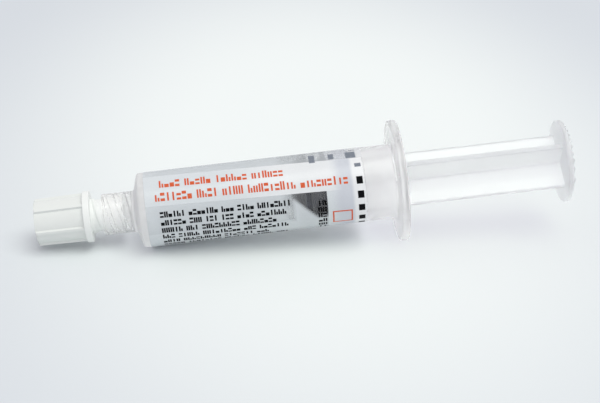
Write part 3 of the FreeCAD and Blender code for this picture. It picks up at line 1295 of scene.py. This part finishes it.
@dataclass
class PlungerRod:
    """Clear plunger rod: stub, disc, four fins and the ridged thumb press. Sizes in millimetres."""
    lathe: Lathe
    stopper: Stopper
    clearance: float = 0.05
    head_edge_r: float = 0.2
    disc_clearance: float = 0.45
    disc_t: float = 1.2
    disc_edge_r: float = 0.3
    fin_clearance: float = 0.6
    fin_t: float = 1.25
    fin_tip_r: float = 0.3
    fin_root_r: float = 0.35
    fin_turn: float = 58.0
    press_front: float = 94.0
    press_r: float = 9.15
    press_t: float = 1.2
    press_edge_r: float = 0.35
    ridge_pitch: float = 1.5
    ridge_height: float = 0.35
    ridge_w: float = 0.75
    ridge_top_w: float = 0.35
    ridge_inset: float = 0.45
    trim: float = 1.0

    def stub_outline(self) -> list[Corner]:
        """Outline of the stub and disc that carry the stopper.

        Returns:
            Its corners as (x, r), from the head to the disc's rear.
        """
        stopper = self.stopper
        disc_x = stopper.rear + self.clearance
        disc_r = stopper.barrel.bore_r - self.disc_clearance
        neck_x = stopper.rear - stopper.neck_length - self.clearance
        neck_r = stopper.neck_r - self.clearance
        head_x = neck_x - stopper.head_length + 2 * self.clearance
        head_r = stopper.head_r - self.clearance
        return [
            Corner(head_x, 0.0),
            Corner(head_x, head_r, self.head_edge_r),
            Corner(neck_x, head_r, self.head_edge_r),
            Corner(neck_x, neck_r),
            Corner(disc_x, neck_r),
            Corner(disc_x, disc_r, self.disc_edge_r),
            Corner(disc_x + self.disc_t, disc_r, self.disc_edge_r),
            Corner(disc_x + self.disc_t, 0.0),
        ]

    def fin_outline(self) -> list[Corner]:
        """Cross-shaped section of the rod.

        Returns:
            Its corners as (u to the front, v up).
        """
        half = self.fin_t / 2
        reach = self.stopper.barrel.bore_r - self.fin_clearance
        corners = []
        for cosine, sine in ((1, 0), (0, 1), (-1, 0), (0, -1)):
            for along, side, radius in (
                (reach, -half, self.fin_tip_r),
                (reach, half, self.fin_tip_r),
                (half, half, self.fin_root_r),
            ):
                corners.append(Corner(along * cosine - side * sine, along * sine + side * cosine, radius))
        return corners

    def press_outline(self) -> list[Corner]:
        """Outline of the thumb press.

        Returns:
            Its corners as (x, r), from the front to the rear.
        """
        rear = self.press_front + self.press_t
        return [
            Corner(self.press_front, 0.0),
            Corner(self.press_front, self.press_r, self.press_edge_r),
            Corner(rear, self.press_r, self.press_edge_r),
            Corner(rear, 0.0),
        ]

    def ridges(self) -> bpy.types.Object:
        """Makes the parallel finger ridges on the press's rear face, cut off round inside its rim.

        Returns:
            The ridges, sunk halfway into the press.
        """
        rear = self.press_front + self.press_t
        sunk = rear - self.press_t / 2
        top = rear + self.ridge_height
        reach = self.press_r - self.ridge_inset
        turn = math.radians(self.fin_turn)
        count = int(reach / self.ridge_pitch)
        half, top_half = self.ridge_w / 2, self.ridge_top_w / 2
        section = (sunk, -half), (rear, -half), (top, -top_half), (top, top_half), (rear, half), (sunk, half)
        points: list[Vector] = []
        faces: list[Face] = []
        for k in range(-count, count + 1):
            faces += loft_faces(len(points), len(section), 2)
            for u in (reach + self.trim, -reach - self.trim):
                for x, side in section:
                    v = k * self.ridge_pitch + side
                    across = u * math.cos(turn) - v * math.sin(turn), u * math.sin(turn) + v * math.cos(turn)
                    points.append(self.lathe.line.across(x, *across))
        bars = make_piece("press_ridges", points, faces)
        plug = self.lathe.turn("press_plug", [
            Corner(sunk, 0.0),
            Corner(sunk, reach),
            Corner(top + self.trim, reach),
            Corner(top + self.trim, 0.0),
        ], even_angles(AROUND))
        return combine(plug, bars, "INTERSECT")

    def build(self) -> list[bpy.types.Object]:
        """Makes the rod and stands it in for its node.

        Returns:
            The rod.
        """
        start = self.stopper.rear + self.clearance + self.disc_t / 2
        end = self.press_front + self.press_t / 2
        turn = math.radians(self.fin_turn)
        around = even_angles(AROUND)
        rod = self.lathe.prism("plunger_rod_moulding", self.fin_outline(), start, end, turn)
        rod = combine(rod, self.lathe.turn("stub", self.stub_outline(), around), "UNION")
        rod = combine(rod, self.lathe.turn("press", self.press_outline(), around), "UNION")
        rod = combine(rod, self.ridges(), "UNION")
        CLEAR_ROD.dress(rod)
        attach(rod, "plunger")
        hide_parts("plunger_rod")
        return [rod]


@dataclass
class Saline:
    """The liquid between tip and stopper. Sizes in millimetres."""
    lathe: Lathe
    barrel: Barrel
    stopper: Stopper
    into_plastic: float = 0.05
    into_rubber: float = 0.05
    tip_inset: float = 0.3
    still: float = 1.0

    def outline(self) -> list[Corner]:
        """Outline of the liquid's section.

        Returns:
            Its corners as (x, r), from the tip to the stopper's nose.
        """
        wall_r = self.barrel.bore_r + self.into_plastic
        lumen_r = self.barrel.lumen_r + self.into_plastic
        tip_x = self.barrel.tip_end + self.tip_inset
        nose = self.stopper.nose + self.into_rubber
        return [
            Corner(tip_x, 0.0),
            Corner(tip_x, lumen_r),
            Corner(self.barrel.bore_cone, lumen_r),
            Corner(self.barrel.bore_front, wall_r, self.barrel.bore_edge_r),
            Corner(self.stopper.first_seal + self.into_rubber, wall_r),
            Corner(nose + self.stopper.nose_height, self.stopper.nose_r - self.into_rubber),
            Corner(nose, self.stopper.nose_flat_r),
            Corner(nose, 0.0),
        ]

    def build(self) -> list[bpy.types.Object]:
        """Makes the liquid and stands it in for its node.

        Returns:
            The liquid.
        """
        liquid = self.lathe.turn("saline_fill", self.outline(), even_angles(AROUND))
        SALINE.dress(liquid)
        line = self.lathe.line
        start = line.place(self.barrel.bore_front + self.still, 0.0, 0.0)
        end = line.place(self.stopper.nose - self.still, 0.0, 0.0)
        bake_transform(liquid)
        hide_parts("saline")
        return [liquid]


class Mark(NamedTuple):
    """A printed block in millimetres: its ends along the barrel, and its edges above the baseline."""
    start: float
    end: float
    low: float
    high: float


class PrintLine(NamedTuple):
    """Marks that share a baseline, given as its turn in degrees at the shoulder."""
    turn: float
    marks: Sequence[Mark]


class Block(Enum):
    """Plain shapes that fill a cell of a printed row."""
    BAR = "bar"
    PAIR = "pair"
    STEP = "step"
    TIERS = "tiers"
    BRICK = "brick"


@dataclass(frozen=True)
class PrintStyle:
    """Height and pitch of a row's cells in millimetres, and the shares of them that the blocks fill."""
    height: float
    pitch: float
    stroke: float
    width: float
    low: float
    step: float = 0.55
    tier: float = 0.32
    upper_tier: float = 0.64
    brick: float = 0.6
    word_gap: float = 0.75
    shortest_word: int = 3
    longest_word: int = 9


@dataclass(frozen=True)
class PrintRow:
    """A row of small printed bars and blocks in word-like groups."""
    turn: float
    start: float
    end: float
    seed: int
    style: PrintStyle

    def cell(self, kind: Block, x: float, top: float) -> list[Mark]:
        """Marks of one cell.

        Args:
            kind: the plain shape.
            x: the cell's start, in millimetres.
            top: its height.

        Returns:
            The marks.
        """
        style = self.style
        end = x + style.pitch * style.width
        stroke = style.pitch * style.stroke
        if kind is Block.BAR:
            middle = (x + end) / 2
            return [Mark(middle - stroke / 2, middle + stroke / 2, 0.0, top)]
        if kind is Block.PAIR:
            return [Mark(x, x + stroke, 0.0, top), Mark(end - stroke, end, 0.0, top)]
        if kind is Block.STEP:
            return [Mark(x, x + stroke, 0.0, top), Mark(end - stroke, end, 0.0, top * style.step)]
        if kind is Block.TIERS:
            return [Mark(x, end, 0.0, top * style.tier), Mark(x, end, top * style.upper_tier, top)]
        return [Mark(x, end, 0.0, top * style.brick)]

    def line(self) -> PrintLine:
        """The whole row.

        Returns:
            Its baseline and its marks, in order along the row.
        """
        style = self.style
        chance = random.Random(self.seed)
        marks: list[Mark] = []
        x = self.start
        while x < self.end - style.pitch:
            letters = chance.randint(style.shortest_word, style.longest_word)
            word_end = min(self.end, x + letters * style.pitch)
            while x < word_end - style.pitch / 2:
                top = style.height * chance.choice((1.0, style.low))
                marks += self.cell(chance.choice(list(Block)), x, top)
                x += style.pitch
            x += style.pitch * style.word_gap
        return PrintLine(self.turn, marks)


@dataclass(frozen=True)
class PrintBlock:
    """Rows of print one below the other, which start in line. Turns in degrees, lengths in millimetres."""
    first_turn: float
    step: float
    start: float
    ends: tuple[float, ...]
    first_seed: int
    style: PrintStyle

    def lines(self) -> list[PrintLine]:
        """The rows.

        Returns:
            Their lines of print, from the top down.
        """
        lines = []
        for i, end in enumerate(self.ends):
            turn = self.first_turn - self.step * i
            lines.append(PrintRow(turn, self.start, end, self.first_seed + i, self.style).line())
        return lines


@dataclass(frozen=True)
class SquareColumn:
    """Squares one above the other at a place along the barrel. Turns in degrees, lengths in millimetres."""
    x: float
    width: float
    height: float
    count: int
    first_turn: float
    step: float

    def lines(self, drift: float) -> list[PrintLine]:
        """The squares.

        Args:
            drift: degrees that a baseline turns for each millimetre along the barrel.

        Returns:
            A line of print for each square, from the bottom up.
        """
        square = Mark(self.x - self.width / 2, self.x + self.width / 2, -self.height / 2, self.height / 2)
        turns = [self.first_turn + self.step * i - drift * self.x for i in range(self.count)]
        return [PrintLine(turn, (square,)) for turn in turns]


@dataclass(frozen=True)
class HollowBlock:
    """An oblong outline. Its turn in degrees, lengths in millimetres."""
    turn: float
    start: float
    end: float
    height: float
    stroke: float

    def line(self) -> PrintLine:
        """The outline's four sides.

        Returns:
            Their line of print.
        """
        left, right, top = self.start + self.stroke, self.end - self.stroke, self.height - self.stroke
        return PrintLine(self.turn, (
            Mark(self.start, left, 0.0, self.height),
            Mark(right, self.end, 0.0, self.height),
            Mark(left, right, 0.0, self.stroke),
            Mark(left, right, top, self.height),
        ))


ROW_STYLE = PrintStyle(height=1.32, pitch=0.92, stroke=0.39, width=0.88, low=0.96)
SIDE_STYLE = PrintStyle(height=1.2, pitch=1.0, stroke=0.36, width=0.88, low=0.95)
TITLE_STYLE = PrintStyle(height=1.9, pitch=1.17, stroke=0.33, width=0.82, low=0.78)


@dataclass
class Label:
    """Film wrapped round the barrel, with white ink areas and generic print. Millimetres and degrees."""
    lathe: Lathe
    barrel: Barrel
    start: float = 1.5
    end: float = 49.6
    film_gap: float = 0.04
    film_t: float = 0.04
    ink_t: float = 0.006
    ink_sunk: float = 0.015     # how far above the film's inside the print starts
    mark_step: float = 0.35     # most that a mark spans round the barrel between two of its points
    drift: float = -0.154       # degrees that a baseline turns for each millimetre along the barrel
    titles: tuple[PrintRow, ...] = (
        PrintRow(60.5, 4.9, 32.7, 3, TITLE_STYLE),
        PrintRow(38.77, 3.8, 45.7, 5, TITLE_STYLE),
    )
    window_rows: PrintBlock = PrintBlock(
        first_turn=13.92,
        step=12.89,
        start=4.43,
        ends=(33.1, 32.9, 29.3, 32.2, 28.1, 32.2),
        first_seed=11,
        style=ROW_STYLE,
    )
    side_rows: PrintBlock = PrintBlock(
        first_turn=9.0,
        step=11.0,
        start=38.65,
        ends=(40.95,) * 6,
        first_seed=31,
        style=SIDE_STYLE,
    )
    squares: SquareColumn = SquareColumn(
        x=48.28,
        width=1.38,
        height=1.66,
        count=5,
        first_turn=-52.0,
        step=21.8,
    )
    hollow_block: HollowBlock = HollowBlock(
        turn=-30.0,
        start=41.8,
        end=46.2,
        height=3.9,
        stroke=0.32,
    )
    upper_marks: tuple[PrintLine, ...] = (
        PrintLine(89.5, (Mark(37.9, 39.2, -1.5, 1.4),)),
        PrintLine(89.9, (Mark(42.2, 43.4, -0.9, 1.0),)),
        PrintLine(90.3, (Mark(46.0, 48.2, -1.2, 1.1),)),
        PrintLine(103.0, (Mark(46.9, 48.3, -0.15, 0.15),)),
        PrintLine(64.6, (Mark(47.6, 48.97, -0.1, 0.83),)),
    )

    @property
    def inner_r(self) -> float:
        """Radius of the film's inside."""
        return self.barrel.outer_r + self.film_gap

    @property
    def outer_r(self) -> float:
        """Radius of the film's outside."""
        return self.inner_r + self.film_t

    def angle(self, x: float, baseline: float, rise: float) -> float:
        """Turn, in radians, of a place a rise above a drifting baseline."""
        return math.radians(baseline + self.drift * x) + rise / self.outer_r

    def printed(self, name: str, lines: Sequence[PrintLine], ink: Ink) -> bpy.types.Object:
        """Makes thin printed blocks as one piece.

        Args:
            name: the piece's name.
            lines: what is printed.
            ink: the print's finish.

        Returns:
            The print.
        """
        points: list[Vector] = []
        faces: list[Face] = []
        foot_r = self.inner_r + self.ink_sunk
        top_r = self.outer_r + self.ink_t
        for baseline, marks in lines:
            for mark in marks:
                corners = (mark.start, foot_r), (mark.end, foot_r), (mark.end, top_r), (mark.start, top_r)
                steps = max(1, math.ceil((mark.high - mark.low) / self.mark_step))
                faces += loft_faces(len(points), len(corners), steps + 1)
                for i in range(steps + 1):
                    rise = mark.low + (mark.high - mark.low) * i / steps
                    for x, r in corners:
                        points.append(self.lathe.line.place(x, r, self.angle(x, baseline, rise)))
        piece = make_piece(name, points, faces)
        ink.dress(piece)
        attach(piece, "barrel")
        return piece

    def build(self) -> list[bpy.types.Object]:
        """Makes the film and its print, and stands the film in for its node.

        Returns:
            The film and the print.
        """
        film = self.lathe.turn("label_sleeve", [
            Corner(self.start, self.inner_r),
            Corner(self.start, self.outer_r),
            Corner(self.end, self.outer_r),
            Corner(self.end, self.inner_r),
        ], even_angles(FINE_AROUND))
        LABEL_FILM.dress(film)
        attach(film, "barrel")
        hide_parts("label")
        rows = self.window_rows.lines() + self.side_rows.lines()
        squares = self.squares.lines(self.drift)
        title = [*(row.line() for row in self.titles), self.hollow_block.line()]
        return [
            film,
            self.printed("label_print_rows", rows, BLACK_INK),
            self.printed("label_print_squares", squares, BLACK_INK),
            self.printed("label_print_title", title, ORANGE_INK),
            self.printed("label_print_side", self.upper_marks, GREY_INK),
        ]


@dataclass
class Studio:
    """Pale floor, soft light and the camera. Lengths in metres, angles in degrees."""
    aim: Triple = (-0.000933, 0.0, 0.00898)
    azimuth: float = -5.8355
    elevation: float = 28.0
    roll: float = 0.7014
    distance: float = 0.31665
    lens: float = 85.036
    sensor: float = 36.0
    nearest: float = 0.01
    floor_half: float = 3.0
    lamp_place: Triple = (0.45, -0.5, 1.7)
    lamp_size: float = 1.4
    lamp_power: float = 17.5
    lamp_colour: Colour = (0.96, 1.0, 0.93)
    sky_light: Colour = (0.98, 0.94, 1.0)
    sky_strength: float = 0.645
    seen_sky: Colour = (0.96, 0.98, 1.0)
    seen_sky_strength: float = 0.98

    def floor(self) -> None:
        """Makes the pale floor."""
        h = self.floor_half
        corners = [Vector((-h, -h, 0)), Vector((h, -h, 0)), Vector((h, h, 0)), Vector((-h, h, 0))]
        floor = make_piece("floor", corners, [(0, 1, 2, 3)])
        PALE_FLOOR.dress(floor)

    def light(self) -> None:
        """Adds the soft lamp, and a sky that lights at one strength and is seen at another."""
        lamp = bpy.data.lights.new("soft_box", "AREA")
        lamp.shape = "SQUARE"
        lamp.size = self.lamp_size
        lamp.energy = self.lamp_power
        lamp.color = self.lamp_colour
        holder = bpy.data.objects.new("soft_box", lamp)
        holder.location = self.lamp_place
        holder.rotation_euler = (-Vector(self.lamp_place)).to_track_quat("-Z", "Y").to_euler()
        bpy.context.scene.collection.objects.link(holder)
        world = bpy.data.worlds.new("studio_sky")
        bpy.context.scene.world = world
        graph = Graph(world)
        lit = {"Color": self.sky_light, "Strength": self.sky_strength}
        seen = {"Color": self.seen_sky, "Strength": self.seen_sky_strength}
        in_view = graph.ray("Is Camera Ray").either(graph.ray("Is Glossy Ray"))
        in_view = in_view.either(graph.ray("Is Transmission Ray"))
        lit_sky = graph.add("ShaderNodeBackground", None, lit)
        seen_sky = graph.add("ShaderNodeBackground", None, seen)
        sky = graph.mix_shader(in_view, lit_sky, seen_sky)
        graph.add("ShaderNodeOutputWorld", None, {"Surface": sky})

    def camera(self) -> None:
        """Places the camera as the photograph was taken."""
        azimuth, elevation, roll = (math.radians(a) for a in (self.azimuth, self.elevation, self.roll))
        back = Vector((
            math.sin(azimuth) * math.cos(elevation),
            -math.cos(azimuth) * math.cos(elevation),
            math.sin(elevation),
        ))
        level = Vector((math.cos(azimuth), math.sin(azimuth), 0.0))
        upright = back.cross(level)
        right = level * math.cos(roll) + upright * math.sin(roll)
        up = upright * math.cos(roll) - level * math.sin(roll)
        data = bpy.data.cameras.new("camera")
        data.lens = self.lens
        data.sensor_width = self.sensor
        data.clip_start = self.nearest
        camera = bpy.data.objects.new("camera", data)
        turn = Matrix((right, up, back)).transposed().to_4x4()
        camera.matrix_world = Matrix.Translation(Vector(self.aim) + back * self.distance) @ turn
        bpy.context.scene.collection.objects.link(camera)
        bpy.context.scene.camera = camera


def main() -> None:
    """Sets up the studio and builds the syringe's pieces in order."""
    logging.basicConfig(level=logging.INFO, format="%(name)s: %(message)s")
    scene = bpy.context.scene
    scene.view_settings.view_transform = "Standard"
    scene.cycles.max_bounces = MAX_BOUNCES
    scene.cycles.transmission_bounces = MAX_BOUNCES
    scene.cycles.transparent_max_bounces = MAX_CLEAR_BOUNCES
    studio = Studio()
    studio.camera()
    studio.light()
    studio.floor()
    lathe = Lathe(SyringeLine.from_frame(frame, Barrel.collar_length + Barrel.tip_reach))
    barrel = Barrel(lathe)
    stopper = Stopper(lathe, barrel)
    makers = (
        barrel,
        TipCap(lathe, barrel),
        stopper,
        PlungerRod(lathe, stopper),
        Saline(lathe, barrel, stopper),
        Label(lathe, barrel),
    )
    for maker in makers:
        for piece in maker.build():
            LOG.info("%s: %d faces", piece.name, len(piece.data.polygons))


if __name__ == "__main__":
    main()
